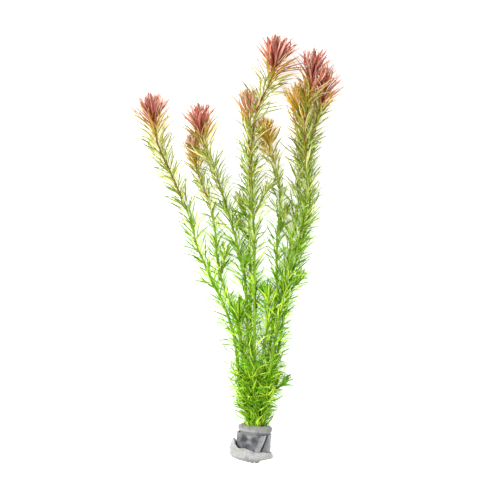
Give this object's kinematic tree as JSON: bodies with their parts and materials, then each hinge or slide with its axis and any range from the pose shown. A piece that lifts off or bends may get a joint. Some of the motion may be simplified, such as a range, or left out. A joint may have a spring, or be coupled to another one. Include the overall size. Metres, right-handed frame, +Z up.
{
  "type": "aquarium plant bunch",
  "caption": "Bunch of slender red-tipped aquarium stems with whorls of needle leaves, tied and weighted at the foot by a lead strip round a foam wrap, lying flat.",
  "frame": {"origin": "on the surface the bunch lies on, under the middle of the lead strip's flat underside", "axes": "+Y from the weighted foot to the growing tips, +Z up, +X to the right as seen from above with the tips away from the viewer"},
  "size_m": [0.1291, 0.2553, 0.0239],
  "materials": {
    "grown_stems": "soft waxy leaf",
    "young_shoots": "soft waxy leaf",
    "white_foam": "damp open foam",
    "lead": "dull, dented sheet"
  },
  "bodies": {
    "root": {"stem_1": "grown_stems", "stem_2": "grown_stems", "stem_3": "grown_stems", "stem_4": "grown_stems", "stem_5": "grown_stems", "stem_6": "grown_stems", "stem_7": "grown_stems", "stem_8": "grown_stems", "stem_9": "grown_stems", "stem_10": "grown_stems", "stem_11": "grown_stems", "side_shoot_1": "young_shoots", "side_shoot_2": "young_shoots", "side_shoot_3": "young_shoots", "side_shoot_4": "young_shoots", "side_shoot_5": "young_shoots", "side_shoot_6": "young_shoots", "side_shoot_7": "young_shoots", "side_shoot_8": "young_shoots", "foam_wrap": "white_foam", "lead_strip": "lead"}
  },
  "joints": []
}
